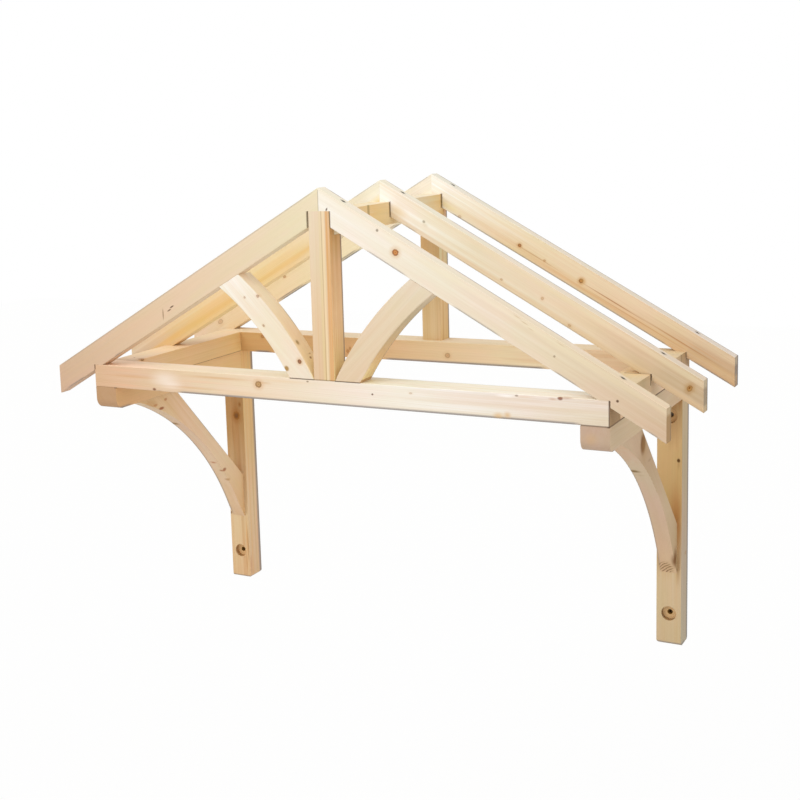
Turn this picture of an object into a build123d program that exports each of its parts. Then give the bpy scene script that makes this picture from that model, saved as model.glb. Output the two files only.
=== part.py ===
from build123d import *
from math import cos, hypot, radians, sin, sqrt, tan
import os

# Gabled timber porch canopy frame, hung on a wall by two braced posts.
# Millimetres. X runs along the wall, Y=0 is the wall face, the canopy stands out to -Y, Z is up.
# The origin is the centre of the wall beam's back face. Right-hand pieces are drawn, left-hand ones mirrored.

# level frame
frame_width = 1500
frame_depth = 730
beam_height = 63
crossbeam_width = 85
purlin_width = 82

# wall posts
post_width = 70
post_depth = 70
post_drop = 775
post_end_round = 12
bolt_bore = 14
counterbore = 42
counterbore_depth = 16
low_bolt_above_end = 92
high_bolt_below_arm = 49

# bracket arms and braces
arm_width = 70
arm_height = 64
arm_nose_round = 30
brace_width = 45
brace_back_leg = 354
brace_arm_reach = 537
brace_arm_toe = 6
brace_post_reach = 455
brace_post_toe = 28
brace_toe_slope = 43
brace_arc = 900

# roof
roof_pitch = 29.8
rafter_depth = 71
rafter_width = 40
eaves_reach = 131
heel_height = 16

# king posts, ridge beam and struts
king_post_width = 61
king_post_depth = 62
king_tongue = 22
ridge_height = 62
ridge_cover = 59
strut_width = 62
strut_depth = 65
strut_arc = 820
strut_foot_angle = 63

# the long edges of planed timber are eased, and upright cuts are sawn with a little play
arris = 2
cut_play = 2

# heights and places that follow from the sizes above
half_width = frame_width / 2
half_king = king_post_width / 2
front = -frame_depth
beam_top = beam_height / 2
beam_bottom = -beam_height / 2
arm_bottom = beam_bottom - arm_height
post_bottom = beam_bottom - post_drop
slope = tan(radians(roof_pitch))
rafter_plumb = rafter_depth / cos(radians(roof_pitch))
apex = beam_top + half_width * slope - heel_height + rafter_plumb
under_apex = apex - rafter_plumb
ridge_top = apex - ridge_cover
ridge_bottom = ridge_top - ridge_height
tail = half_width + eaves_reach


def bar_x(x0, x1, y0, y1, z0, z1):
    # planed timber lying along X
    section = Plane.YZ * Pos((y0 + y1) / 2, (z0 + z1) / 2) * RectangleRounded(y1 - y0, z1 - z0, arris)
    return Pos(x0, 0, 0) * extrude(section, x1 - x0, dir=(1, 0, 0))


def bar_y(x0, x1, y0, y1, z0, z1):
    # planed timber lying along Y
    section = Plane.XZ * Pos((x0 + x1) / 2, (z0 + z1) / 2) * RectangleRounded(x1 - x0, z1 - z0, arris)
    return Pos(0, y0, 0) * extrude(section, y1 - y0, dir=(0, 1, 0))


def bar_z(x0, x1, y0, y1, z0, z1):
    # planed timber standing along Z
    section = Pos((x0 + x1) / 2, (y0 + y1) / 2) * RectangleRounded(x1 - x0, y1 - y0, arris)
    return Pos(0, 0, z0) * extrude(section, z1 - z0)


def block(x0, x1, y0, y1, z0, z1):
    return Pos((x0 + x1) / 2, (y0 + y1) / 2, (z0 + z1) / 2) * Box(x1 - x0, y1 - y0, z1 - z0)


def bowed(start, end, radius):
    # an arc from start to end that bows to the left of the straight line between them
    dx = end[0] - start[0]
    dy = end[1] - start[1]
    chord = hypot(dx, dy)
    rise = radius - sqrt(radius * radius - chord * chord / 4)
    middle = ((start[0] + end[0]) / 2 - rise * dy / chord, (start[1] + end[1]) / 2 + rise * dx / chord)
    return ThreePointArc(start, middle, end)


def eased(timber, shortest):
    # the long edges of a shaped timber, eased like the planed stock
    return fillet([edge for edge in timber.edges() if edge.length > shortest], arris)


def crossbeam(y0):
    return bar_x(-half_width, half_width, y0, y0 + crossbeam_width, beam_bottom, beam_top)


def purlin():
    inner = half_width - purlin_width
    return bar_y(inner, half_width, front + crossbeam_width, -crossbeam_width, beam_bottom, beam_top)


def bolt_hole(height):
    # a bore through the post with a flat-bottomed recess in its front face for the washer
    centre = half_width - post_width / 2
    bore = Pos(centre, -post_depth / 2, height) * Rot(90, 0, 0) * Cylinder(bolt_bore / 2, 2 * post_depth)
    floor = counterbore_depth - post_depth
    recess = Pos(centre, floor - post_depth, height) * Rot(90, 0, 0) * Cylinder(counterbore / 2, 2 * post_depth)
    return bore + recess


def post():
    # square timber whose foot is rounded on all four sides, with a bolt hole near each end
    inner = half_width - post_width
    tall = 2 * post_drop
    timber = bar_z(inner, half_width, -post_depth, 0, post_bottom, beam_bottom)
    centre = Pos(half_width - post_width / 2, post_bottom + tall / 2)
    foot_x = extrude(Plane.XZ * centre * RectangleRounded(post_width, tall, post_end_round), post_depth, dir=(0, -1, 0))
    centre = Pos(-post_depth / 2, post_bottom + tall / 2)
    foot_y = extrude(Plane.YZ * centre * RectangleRounded(post_depth, tall, post_end_round), half_width, dir=(1, 0, 0))
    timber = timber & foot_x & foot_y
    timber -= bolt_hole(post_bottom + low_bolt_above_end)
    timber -= bolt_hole(arm_bottom - high_bolt_below_arm)
    return timber


def arm():
    # bracket arm under the purlin, with a rounded lower nose
    inner = half_width - arm_width
    timber = bar_y(inner, half_width, front, -post_depth, arm_bottom, beam_bottom)
    centre = Pos(front + frame_depth, arm_bottom + frame_depth)
    nose = Plane.YZ * centre * RectangleRounded(2 * frame_depth, 2 * frame_depth, arm_nose_round)
    return timber & extrude(nose, half_width, dir=(1, 0, 0))


def brace():
    # straight back, arched underside, and a short slanted toe on the post
    arm_toe = (-post_depth - brace_arm_reach, arm_bottom - brace_arm_toe)
    post_toe = (-post_depth - brace_post_toe, arm_bottom - brace_post_reach)
    ends = Polyline(
        post_toe,
        (-post_depth, post_toe[1] - brace_toe_slope),
        (-post_depth, arm_bottom - brace_back_leg),
        (-post_depth - brace_back_leg, arm_bottom),
        (arm_toe[0], arm_bottom),
        arm_toe,
    )
    outline = make_face(ends + bowed(arm_toe, post_toe, brace_arc))
    middle = half_width - post_width / 2
    timber = Pos(middle - brace_width / 2, 0, 0) * extrude(Plane.YZ * outline, brace_width, dir=(1, 0, 0))
    return eased(timber, brace_back_leg)


def rafter(y0):
    # sawn to a mitre at the ridge, a birdsmouth over the frame and a plumb cut at the eaves
    stock = bar_x(-half_width, 2 * half_width, 0, rafter_width, -rafter_depth, 0)
    stock = Pos(0, y0, apex) * Rot(0, roof_pitch, 0) * stock
    y1 = y0 + rafter_width
    timber = stock & block(0, tail, y0, y1, -frame_width, frame_width)
    timber -= block(0, half_width + cut_play, y0, y1, -frame_width, beam_top)
    timber -= block(0, half_king + cut_play, y0, y1, -frame_width, ridge_top)
    return timber


def king_post(side):
    # the tongue on the outer side laps the end of the ridge beam, which sits on the shoulder
    y0, y1 = (front, front + king_post_depth) if side == "front" else (-king_post_depth, 0)
    timber = bar_z(-half_king, half_king, y0, y1, beam_top, ridge_top)
    lap = (y0 + king_tongue, y1) if side == "front" else (y0, y1 - king_tongue)
    return timber - block(-half_king, half_king, lap[0], lap[1], ridge_bottom, ridge_top)


def ridge_beam():
    end = king_tongue + cut_play
    return bar_y(-half_king, half_king, front + end, -end, ridge_bottom, ridge_top)


def strut():
    # a curved timber from the king post's foot to the underside of the front rafter
    centre_x = half_king + strut_arc * sin(radians(strut_foot_angle))
    centre_z = beam_top - strut_arc * cos(radians(strut_foot_angle))
    section = chamfer(Rectangle(strut_depth, strut_width).vertices(), arris)
    section = Pos(strut_depth / 2 - strut_arc, strut_width / 2) * section
    bend = revolve(section, Axis.Y, revolution_arc=90)
    timber = Pos(centre_x, front, centre_z) * bend
    timber -= block(-tail, tail, front, 0, -frame_width, beam_top)
    above = block(-half_width, 2 * half_width, 0, strut_width, -rafter_depth, frame_width)
    return timber - Pos(0, front, apex) * Rot(0, roof_pitch, 0) * above


pieces = {
    "front_crossbeam": crossbeam(front),
    "rear_crossbeam": crossbeam(-crossbeam_width),
    "front_king_post": king_post("front"),
    "rear_king_post": king_post("rear"),
    "ridge_beam": ridge_beam(),
}

# paired pieces
pairs = {
    "post": post(),
    "arm": arm(),
    "brace": brace(),
    "purlin": purlin(),
    "strut": strut(),
    "front_rafter": rafter(front),
    "middle_rafter": rafter((front - rafter_width) / 2),
    "rear_rafter": rafter(-rafter_width),
}
for name, right in pairs.items():
    pieces["right_" + name] = right
    pieces["left_" + name] = mirror(right, about=Plane.YZ)

os.makedirs("parts", exist_ok=True)
for name, timber in pieces.items():
    export_step(timber, "parts/" + name + ".step")
    print(name, round(timber.volume), [round(v, 1) for v in timber.bounding_box().size])
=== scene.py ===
import bpy
import numpy as np
from math import cos, pi, radians, sin
from mathutils import Euler, Matrix, Vector


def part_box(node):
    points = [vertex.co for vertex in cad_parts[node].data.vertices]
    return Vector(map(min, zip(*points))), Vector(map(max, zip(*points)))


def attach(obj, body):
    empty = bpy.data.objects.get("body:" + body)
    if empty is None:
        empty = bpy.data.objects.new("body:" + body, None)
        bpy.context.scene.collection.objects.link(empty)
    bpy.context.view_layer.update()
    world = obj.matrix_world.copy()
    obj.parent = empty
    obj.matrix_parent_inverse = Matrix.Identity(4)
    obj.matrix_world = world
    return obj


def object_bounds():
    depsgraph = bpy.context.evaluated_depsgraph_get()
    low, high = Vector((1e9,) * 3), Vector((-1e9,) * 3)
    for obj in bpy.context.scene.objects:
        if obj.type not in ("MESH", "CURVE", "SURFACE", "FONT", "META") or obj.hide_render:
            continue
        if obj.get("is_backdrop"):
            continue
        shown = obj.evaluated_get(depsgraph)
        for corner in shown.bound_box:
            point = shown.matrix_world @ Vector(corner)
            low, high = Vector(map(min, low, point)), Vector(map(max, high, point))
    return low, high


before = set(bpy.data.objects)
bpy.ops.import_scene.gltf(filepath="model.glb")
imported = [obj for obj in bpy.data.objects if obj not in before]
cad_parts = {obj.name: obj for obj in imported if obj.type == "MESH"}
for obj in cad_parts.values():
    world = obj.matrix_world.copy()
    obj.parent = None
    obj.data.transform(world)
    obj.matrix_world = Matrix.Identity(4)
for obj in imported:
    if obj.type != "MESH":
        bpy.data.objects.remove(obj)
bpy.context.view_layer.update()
print("frame loaded")


# the camera, in millimetres and degrees: turn and tilt are from straight on, roll is how far it leans
cameraView = {
    "place": (1664.7, -3688.9, 685.1), "turn": 30.35, "tilt": -9.119, "roll": -2.22,
    "lens": 60.298, "sensor": 36, "shift": (0.125, -0.075), "clipEnd": 60000,
}

# two broad lamps, whose widths are in degrees, and an even sky
studio = {
    "keyFrom": (-0.38, -0.72, 0.74), "keyStrength": 1.14, "keyWidth": 42,
    "fillFrom": (0.85, -0.45, 0.35), "fillStrength": 0.45, "fillWidth": 60,
    "sky": 0.72, "skyTint": (1.0, 0.99, 0.975, 1),
}


def placeCamera(view):
    turn, tilt, roll = (radians(view[key]) for key in ("turn", "tilt", "roll"))
    ahead = Vector((-sin(turn) * cos(tilt), cos(turn) * cos(tilt), sin(tilt)))
    level = Vector((cos(turn), sin(turn), 0))
    upright = level.cross(ahead)
    right = level * cos(roll) + upright * sin(roll)
    up = upright * cos(roll) - level * sin(roll)
    lens = bpy.data.cameras.new("camera")
    lens.sensor_width = view["sensor"]
    lens.lens = view["lens"]
    lens.shift_x, lens.shift_y = view["shift"]
    lens.clip_end = view["clipEnd"] / 1000
    camera = bpy.data.objects.new("camera", lens)
    bpy.context.scene.collection.objects.link(camera)
    turned = Matrix((right, up, -ahead)).transposed().to_4x4()
    camera.matrix_world = Matrix.Translation(Vector(view["place"]) / 1000) @ turned
    bpy.context.scene.camera = camera


def addSun(name):
    lamp = bpy.data.lights.new(name + "Light", "SUN")
    lamp.energy = studio[name + "Strength"]
    lamp.angle = radians(studio[name + "Width"])
    sun = bpy.data.objects.new(name + "Light", lamp)
    sun.rotation_euler = Vector(studio[name + "From"]).to_track_quat("Z", "Y").to_euler()
    bpy.context.scene.collection.objects.link(sun)


placeCamera(cameraView)
addSun("key")
addSun("fill")
print("camera and lamps placed")


# short ways to add shader nodes: a value is another node's output or a plain number, vector or colour

def addNode(tree, kind, **settings):
    node = tree.nodes.new(kind)
    for key, value in settings.items():
        setattr(node, key, value)
    return node


def plug(tree, source, socket):
    if isinstance(source, bpy.types.NodeSocket):
        tree.links.new(source, socket)
    else:
        socket.default_value = source


def feed(tree, node, labels, *sources):
    # plugs each source into the input of that label or number
    for label, source in zip(labels, sources):
        plug(tree, source, node.inputs[label])
    return node


def maths(tree, operation, *values):
    return feed(tree, addNode(tree, "ShaderNodeMath", operation=operation), range(3), *values).outputs[0]


def chain(tree, operation, first, *others):
    for other in others:
        first = maths(tree, operation, first, other)
    return first


def times(tree, *values):
    return chain(tree, "MULTIPLY", *values)


def plus(tree, *values):
    return chain(tree, "ADD", *values)


def minus(tree, *values):
    return chain(tree, "SUBTRACT", *values)


def vectors(tree, operation, *values):
    node = addNode(tree, "ShaderNodeVectorMath", operation=operation)
    feed(tree, node, (0, "Scale") if operation == "SCALE" else range(3), *values)
    return node.outputs["Value" if operation in ("DOT_PRODUCT", "LENGTH") else "Vector"]


def scaledLength(tree, vector, scales):
    return vectors(tree, "LENGTH", vectors(tree, "MULTIPLY", vector, scales))


def joinXyz(tree, *values):
    return feed(tree, addNode(tree, "ShaderNodeCombineXYZ"), "XYZ", *values).outputs[0]


def splitXyz(tree, vector):
    return feed(tree, addNode(tree, "ShaderNodeSeparateXYZ"), ["Vector"], vector).outputs


def ease(tree, value, low, high, toLow=0.0, toHigh=1.0):
    # a smooth step of value from low to high
    node = addNode(tree, "ShaderNodeMapRange", interpolation_type="SMOOTHSTEP")
    labels = ("Value", "From Min", "From Max", "To Min", "To Max")
    return feed(tree, node, labels, value, low, high, toLow, toHigh).outputs["Result"]


def fade(tree, value, low, high, amount=1.0):
    return ease(tree, value, low, high, amount, 0.0)


def hump(tree, value, start, full, ebb, end):
    # rises from start to full, stays at 1, and falls from ebb to end
    return times(tree, ease(tree, value, start, full), fade(tree, value, ebb, end))


def noise(tree, vector, scale, detail=2.0, rough=0.5, result="Fac"):
    node, labels = addNode(tree, "ShaderNodeTexNoise"), ("Vector", "Scale", "Detail", "Roughness")
    return feed(tree, node, labels, vector, scale, detail, rough).outputs[result]


def blend(tree, amount, first, second, kind="MIX"):
    # a mix node's colour sockets share their labels with others, so they go by number
    node = addNode(tree, "ShaderNodeMix", data_type="RGBA", blend_type=kind)
    return feed(tree, node, (0, 6, 7), amount, first, second).outputs[2]


def tinted(tree, colour, tint):
    return blend(tree, 1.0, colour, tint, "MULTIPLY")


def newGroup(name, inputs, outputs):
    # labels of floats, vectors and colours are rows of (f, v or c, labels with commas)
    group = bpy.data.node_groups.new(name, "ShaderNodeTree")
    kinds = {"f": "NodeSocketFloat", "v": "NodeSocketVector", "c": "NodeSocketColor"}
    for rows, direction in ((inputs, "INPUT"), (outputs, "OUTPUT")):
        for kind, labels in rows:
            for label in labels.split(","):
                group.interface.new_socket(label, in_out=direction, socket_type=kinds[kind])
    return group, addNode(group, "NodeGroupInput").outputs, addNode(group, "NodeGroupOutput").inputs


def useGroup(tree, group, **values):
    return feed(tree, addNode(tree, "ShaderNodeGroup", node_tree=group), values, *values.values()).outputs


def fromCentre(group, given):
    return vectors(group, "SUBTRACT", given["place"], given["centre"])


def layOver(group, given, put, mask):
    # the colour "over" laid on the colour "under" where the mask says
    plug(group, blend(group, mask, given["under"], given["over"]), put["colour"])
    return group


def shade(code):
    # a colour written as six hex digits, as a screen shows it, undone with the sRGB curve
    channels = [int(code[i:i + 2], 16) / 255 for i in (0, 2, 4)]
    return (*[c / 12.92 if c <= 0.04045 else ((c + 0.055) / 1.055) ** 2.4 for c in channels], 1)


def toMetres(values):
    return [value / 1000 for value in values]


# the wood is a solid texture: every timber reads its own coordinates in metres, x along the grain
# four numbers in brackets are a hump: where it starts, is full, ebbs and ends

ringLook = {
    "drift": (1.7, 7.0, 7.0),  # how fast the pith wanders, along and across the grain
    "uneven": 60.0, "unevenness": 2.2,  # how fast and how far the rings vary in width
    "late": (0.30, 0.88, 0.92, 1.0),  # late wood, as a share of its ring
    "faintest": 0.35,  # strength of the weakest ring
    "bands": 24.0,
}


def makeRings():
    # growth rings: distance from a leaning, wandering pith, cut into rings of uneven width
    group, given, put = newGroup(
        "growthRings", [("v", "place,pith,lean"), ("f", "ringWidth,wander,bulge,seed")],
        [("f", "late,band")])
    stretched = vectors(group, "MULTIPLY", given["place"], ringLook["drift"])
    shifted = vectors(group, "ADD", stretched, joinXyz(group, given["seed"], given["seed"], 0.0))
    drift = vectors(group, "SUBTRACT", noise(group, shifted, 1.0, result="Color"), (0.5, 0.5, 0.5))
    drift = vectors(group, "MULTIPLY", drift, joinXyz(group, 0.0, given["wander"], given["wander"]))
    leaning = vectors(group, "SCALE", given["lean"], splitXyz(group, given["place"])[0])
    across = vectors(group, "MULTIPLY", given["place"], (0.0, 1.0, 1.0))
    across = vectors(group, "ADD", vectors(group, "ADD", across, drift), leaning)
    radius = vectors(group, "LENGTH", vectors(group, "SUBTRACT", across, given["pith"]))
    radius = plus(group, radius, given["bulge"])
    spread = joinXyz(group, radius, given["seed"], 0.0)
    uneven = times(group, noise(group, spread, ringLook["uneven"], 1.0), ringLook["unevenness"])
    count = plus(group, maths(group, "DIVIDE", radius, given["ringWidth"]), uneven)
    late = hump(group, maths(group, "FRACT", count), *ringLook["late"])
    chance = addNode(group, "ShaderNodeTexWhiteNoise", noise_dimensions="1D")
    plug(group, plus(group, maths(group, "FLOOR", count), given["seed"]), chance.inputs["W"])
    strong = ease(group, chance.outputs["Value"], 0.0, 1.0, ringLook["faintest"])
    plug(group, times(group, late, strong), put["late"])
    plug(group, noise(group, spread, ringLook["bands"], 2.0, 0.6), put["band"])
    return group


# how far each is squeezed along and across the grain, and its detail
fibreLook = {
    "fine": ((9.0, 700.0, 700.0), 2.0), "coarse": ((2.2, 85.0, 85.0), 3.0), "patch": ((7.0, 20.0, 20.0), 3.0),
}


def makeFibre():
    # fine and coarse streaks drawn out along the grain, and slow cloudy patches
    group, given, put = newGroup("woodFibre", [("v", "place"), ("f", "seed")], [("f", ",".join(fibreLook))])
    offset = joinXyz(group, 0.0, 0.0, given["seed"])
    for label, (stretch, detail) in fibreLook.items():
        place = vectors(group, "ADD", vectors(group, "MULTIPLY", given["place"], stretch), offset)
        plug(group, noise(group, place, 1.0, detail, 0.55), put[label])
    return group


# distances are shares of the knot's half sizes
knotLook = {
    "ripple": 1.9, "raggedness": 0.7,
    "heart": (0.75, 1.15), "rim": (0.45, 0.85, 0.95, 1.25), "halo": (0.8, 2.8),
    "core": (0.1, 0.35), "coreTone": 0.7,
    "bulgeShape": (0.34, 0.6, 0.6), "bulge": (0.0, 1.6), "bulgeHeight": 0.9,
}


def makeKnot():
    # one branch knot, an ellipsoid: its heart, its dark rim, the halo round it and how far it pushes the
    # rings aside, each joined to what the knots before it gave
    group, given, put = newGroup(
        "knot", [("v", "place,centre,size"), ("f", "tone,heartBefore,rimBefore,haloBefore,bulgeBefore")],
        [("f", "heart,rim,halo,bulge")])
    local = vectors(group, "DIVIDE", fromCentre(group, given), given["size"])
    ragged = minus(group, noise(group, local, knotLook["ripple"], 2.0, 0.6), 0.5)
    far = plus(group, vectors(group, "LENGTH", local), times(group, ragged, knotLook["raggedness"]))
    core = fade(group, far, *knotLook["core"], knotLook["coreTone"])
    shares = {
        "heart": fade(group, far, *knotLook["heart"]),
        "rim": maths(group, "MAXIMUM", hump(group, far, *knotLook["rim"]), core),
        "halo": fade(group, far, *knotLook["halo"]),
    }
    for label, share in shares.items():
        share = times(group, share, given["tone"])
        plug(group, maths(group, "MAXIMUM", share, given[label + "Before"]), put[label])
    wide = scaledLength(group, local, knotLook["bulgeShape"])
    push = fade(group, wide, *knotLook["bulge"], knotLook["bulgeHeight"])
    push = times(group, push, splitXyz(group, given["size"])[0])
    plug(group, plus(group, push, given["bulgeBefore"]), put["bulge"])
    return group


stripeLook = {
    "wave": 3.0, "edge": (0.35, 1.0),  # waves per metre, and where the edge fades, in half widths
    "streaks": (2.0, 220.0, 220.0), "gaps": (0.25, 0.65), "faintest": 0.55,
}


def makeStripe():
    # a long band of another tone, such as heartwood: a soft strip round a wavy line along the grain
    group, given, put = newGroup(
        "stripe", [("v", "place,across"), ("f", "middle,width,slope,strength,seed"), ("c", "under,over")],
        [("c", "colour")])
    along = splitXyz(group, given["place"])[0]
    bend = joinXyz(group, times(group, along, stripeLook["wave"]), given["seed"], 0.0)
    wave = times(group, minus(group, noise(group, bend, 1.0, 3.0), 0.5), given["width"])
    line = plus(group, vectors(group, "DOT_PRODUCT", given["place"], given["across"]), wave)
    line = minus(group, line, given["middle"], times(group, along, given["slope"]))
    near = maths(group, "DIVIDE", maths(group, "ABSOLUTE", line), given["width"])
    streak = noise(group, vectors(group, "MULTIPLY", given["place"], stripeLook["streaks"]), 1.0, 3.0)
    broken = ease(group, streak, *stripeLook["gaps"], stripeLook["faintest"])
    mask = times(group, fade(group, near, *stripeLook["edge"]), broken, given["strength"])
    return layOver(group, given, put, mask)


blockEdge = (-0.0004, 0.0016)  # where a block fades, in metres inside its faces


def makeMark():
    # a small stain or scratch of its own colour, or painted shade in a crevice: a soft spot, or with square 1
    # a block
    group, given, put = newGroup(
        "mark", [("v", "place,centre,size"), ("f", "square,soft,strength"), ("c", "under,over")],
        [("c", "colour")])
    away = vectors(group, "ABSOLUTE", fromCentre(group, given))
    spot = vectors(group, "LENGTH", vectors(group, "DIVIDE", away, given["size"]))
    spot = fade(group, spot, minus(group, 1.0, given["soft"]), 1.0)
    inside = splitXyz(group, vectors(group, "SUBTRACT", given["size"], away))
    block = ease(group, chain(group, "MINIMUM", *inside), *blockEdge)
    mask = plus(group, times(group, spot, minus(group, 1.0, given["square"])),
                times(group, block, given["square"]))
    return layOver(group, given, put, times(group, mask, given["strength"]))


def makeFacing(name, low, high, eitherWay=False):
    # how squarely a face looks one way, or also the opposite way, counted from low up to high
    group, given, put = newGroup(name, [("v", "way")], [("f", "mask")])
    normal = addNode(group, "ShaderNodeTexCoord").outputs["Normal"]
    square = vectors(group, "DOT_PRODUCT", normal, given["way"])
    square = maths(group, "ABSOLUTE", square) if eitherWay else square
    plug(group, ease(group, square, low, high), put["mask"])
    return group


# where the line fades, in widths, and how long its ends taper, in metres
edgeLook = {"fade": (0.3, 1.0), "taper": 0.03}


def makeEdgeShadeLine():
    # painted shade: a thin grey line along one long edge; how near a point is to that edge,
    # seen along the grain
    group, given, put = newGroup(
        "edgeShadeLine", [("v", "section,edge"), ("f", "width,strength,along,start,stop"), ("c", "under,over")],
        [("c", "colour")])
    away = vectors(group, "SUBTRACT", given["section"], given["edge"])
    near = maths(group, "DIVIDE", scaledLength(group, away, (0.0, 1.0, 1.0)), given["width"])
    begun = ease(group, minus(group, given["along"], given["start"]), 0.0, edgeLook["taper"])
    ended = ease(group, minus(group, given["stop"], given["along"]), 0.0, edgeLook["taper"])
    line = times(group, fade(group, near, *edgeLook["fade"]), given["strength"])
    return layOver(group, given, put, times(group, begun, ended, line))


# humps over the distance from the axis and over the depth behind the post's face, in millimetres,
# with the strength and colour of each: painted shade on the recess's wall and in the bore, painted light on
# its floor
boltTones = (
    ((19.6, 20.8, 21.3, 22), (1, 5, 18, 20), 0.65, "9A6E34"),  # the wall of the washer's recess
    ((-2, -1, 19, 20.6), (14, 15.5, 18, 20), 0.7, "E8C088"),  # its floor
    ((-2, -1, 7.2, 8.4), (14, 15.5, 66, 69), 1.0, "A07A3A"),  # the bore
)


def makeBoltShade():
    # the painted shade and light inside a bolt hole that runs along y
    group, given, put = newGroup("boltShade", [("v", "place,centre"), ("c", "under")], [("c", "colour")])
    away, colour = fromCentre(group, given), given["under"]
    deep, radius = splitXyz(group, away)[1], scaledLength(group, away, (1.0, 0.0, 1.0))
    for radii, depths, strength, code in boltTones:
        inside = hump(group, deep, *toMetres(depths))
        mask = times(group, hump(group, radius, *toMetres(radii)), inside, strength)
        colour = blend(group, mask, colour, shade(code))
    plug(group, colour, put["colour"])
    return group


arcLook = {"patch": (0.6, 1.0), "wander": 60.0, "wandering": 1.3, "line": (0.45, 0.72, 0.78, 1.0)}


def makeArcs():
    # ring lines on a sawn toe: thin arcs round a pith that lies along y, inside a soft patch
    group, given, put = newGroup(
        "toeArcs", [("v", "place,centre,size,pith"), ("f", "spacing,strength"), ("c", "under,over")],
        [("c", "colour")])
    local = vectors(group, "LENGTH", vectors(group, "DIVIDE", fromCentre(group, given), given["size"]))
    away = vectors(group, "SUBTRACT", given["place"], given["pith"])
    radius = scaledLength(group, away, (1.0, 0.0, 1.0))
    wander = times(group, noise(group, given["place"], arcLook["wander"]), arcLook["wandering"])
    phase = maths(group, "FRACT", plus(group, maths(group, "DIVIDE", radius, given["spacing"]), wander))
    line = hump(group, phase, *arcLook["line"])
    mask = times(group, line, fade(group, local, *arcLook["patch"]), given["strength"])
    return layOver(group, given, put, mask)


# colours here multiply the timber's own
toneLook = {
    "bandShare": 0.45, "coarseShare": 0.55, "warmFrom": (0.36, 0.64),
    "pale": (1.02, 1.045, 1.08, 1), "warm": (0.98, 0.95, 0.90, 1),
    "cloud": (0.32, 0.68), "cool": (0.985, 1.0, 0.97, 1), "rosy": (1.015, 0.985, 1.0, 1),
    "late": (0.80, 0.62, 0.42, 1), "endBoost": 1.4,  # rings show more on sawn ends
    "fibreLow": 0.94, "fibreSpan": 0.12,
    "amber": (0.82, 0.58, 0.33, 1), "haloShare": 0.6, "rimShare": 0.85,
    "roughness": 0.66, "lateSmooth": 0.14, "knotSmooth": 0.12,
    "fibreRelief": 0.35, "lateRelief": 0.5, "knotRelief": 0.4,
}


def makeTone(look):
    # puts the masks together: pale early wood, warmer bands, late wood, knots and end grain
    group, given, put = newGroup(
        "woodTone", [("c", "base,knotHeart,knotRim"),
                     ("f", "warmth,contrast,late,band,fine,coarse,patch,heart,rim,halo,end")],
        [("c", "colour"), ("f", "roughness,height")])
    own, warmth = given["base"], given["warmth"]
    share = plus(group, times(group, given["band"], look["bandShare"]),
                 times(group, given["coarse"], look["coarseShare"]))
    pale = blend(group, warmth, own, tinted(group, own, look["pale"]))
    warm = blend(group, warmth, own, tinted(group, own, look["warm"]))
    base = blend(group, ease(group, share, *look["warmFrom"]), pale, warm)
    cloudy = ease(group, given["patch"], *look["cloud"])
    base = tinted(group, base, blend(group, cloudy, look["cool"], look["rosy"]))
    boost = plus(group, 1.0, times(group, given["end"], look["endBoost"]))
    late = times(group, given["contrast"], boost, given["late"])
    base = blend(group, late, base, tinted(group, base, look["late"]))
    fibre = plus(group, look["fibreLow"], times(group, given["fine"], look["fibreSpan"]))
    base = tinted(group, base, fibre)
    halo = times(group, given["halo"], look["haloShare"])
    base = blend(group, halo, base, tinted(group, base, look["amber"]))
    base = blend(group, given["heart"], base, given["knotHeart"])
    base = blend(group, times(group, given["rim"], look["rimShare"]), base, given["knotRim"])
    plug(group, base, put["colour"])
    rough = minus(group, look["roughness"], times(group, late, look["lateSmooth"]))
    rough = minus(group, rough, times(group, given["heart"], look["knotSmooth"]))
    plug(group, rough, put["roughness"])
    height = plus(group, times(group, given["fine"], look["fibreRelief"]),
                  times(group, given["late"], look["lateRelief"]),
                  times(group, given["heart"], look["knotRelief"]))
    plug(group, height, put["height"])
    return group


growthRings, woodFibre, knotGroup, stripeGroup = makeRings(), makeFibre(), makeKnot(), makeStripe()
endGrain = makeFacing("endGrain", low=0.45, high=0.8, eitherWay=True)
facing = makeFacing("facing", low=0.55, high=0.7)
markGroup, edgeShadeLine, boltShade, toeArcs = makeMark(), makeEdgeShadeLine(), makeBoltShade(), makeArcs()
woodTone = makeTone(toneLook)
print("wood groups built")


# how each timber lies: the turn of its own axes in degrees, with x along the grain
roofPitch = 29.8
alongX, alongY, upright = (0, 0, 0), (0, 0, 90), (0, -90, 0)
fallRight, fallLeft = (0, roofPitch, 0), (0, -roofPitch, 0)
leanRight, leanLeft = (0, -46, 0), (0, 46, 0)
braced = (0, -45, -90)
ways = {"right": (1, 0, 0), "top": (0, 0, 1), "under": (0, -0.6, -0.8)}

# what a timber has unless its own dictionary says otherwise
plainTimber = {
    "lean": (0, 0), "ringWidth": 3.6, "wander": 9, "warmth": 1.0, "contrast": 0.16,
    "knots": (), "knotTones": ("B87B42", "70481F"), "stripes": (), "edges": (),
    "marks": (), "stains": (), "joints": (), "bolts": (), "arcs": (), "bend": None,
}
finish = {
    "specular": 0.25, "bump": 0.35, "depth": 0.6,
    "blur": 0.25,  # how far the tones wander along the grain, as a share of the timber
    "smallMark": 10, "firm": 0.6,  # marks up to this half length fade over this share of it
}
# painted shade: the first is the brown of shade in a crevice, the second the grey of shade along an edge
creviceShade, greyEdgeShade = "4A2C12", "7E7878"  # a mark without a colour has the first, an edge line the second


def toneRamp(tree, along, codes):
    # the colours of one face, spread evenly from one end of the timber to the other
    node = addNode(tree, "ShaderNodeValToRGB")
    ramp, codes = node.color_ramp, codes.split()
    ramp.elements[0].color = shade(codes[0])
    ramp.elements[1].color = shade(codes[-1])
    for i, code in enumerate(codes[1:-1]):
        ramp.elements.new((i + 1) / (len(codes) - 1)).color = shade(code)
    plug(tree, along, node.inputs[0])
    return node.outputs[0]


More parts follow.
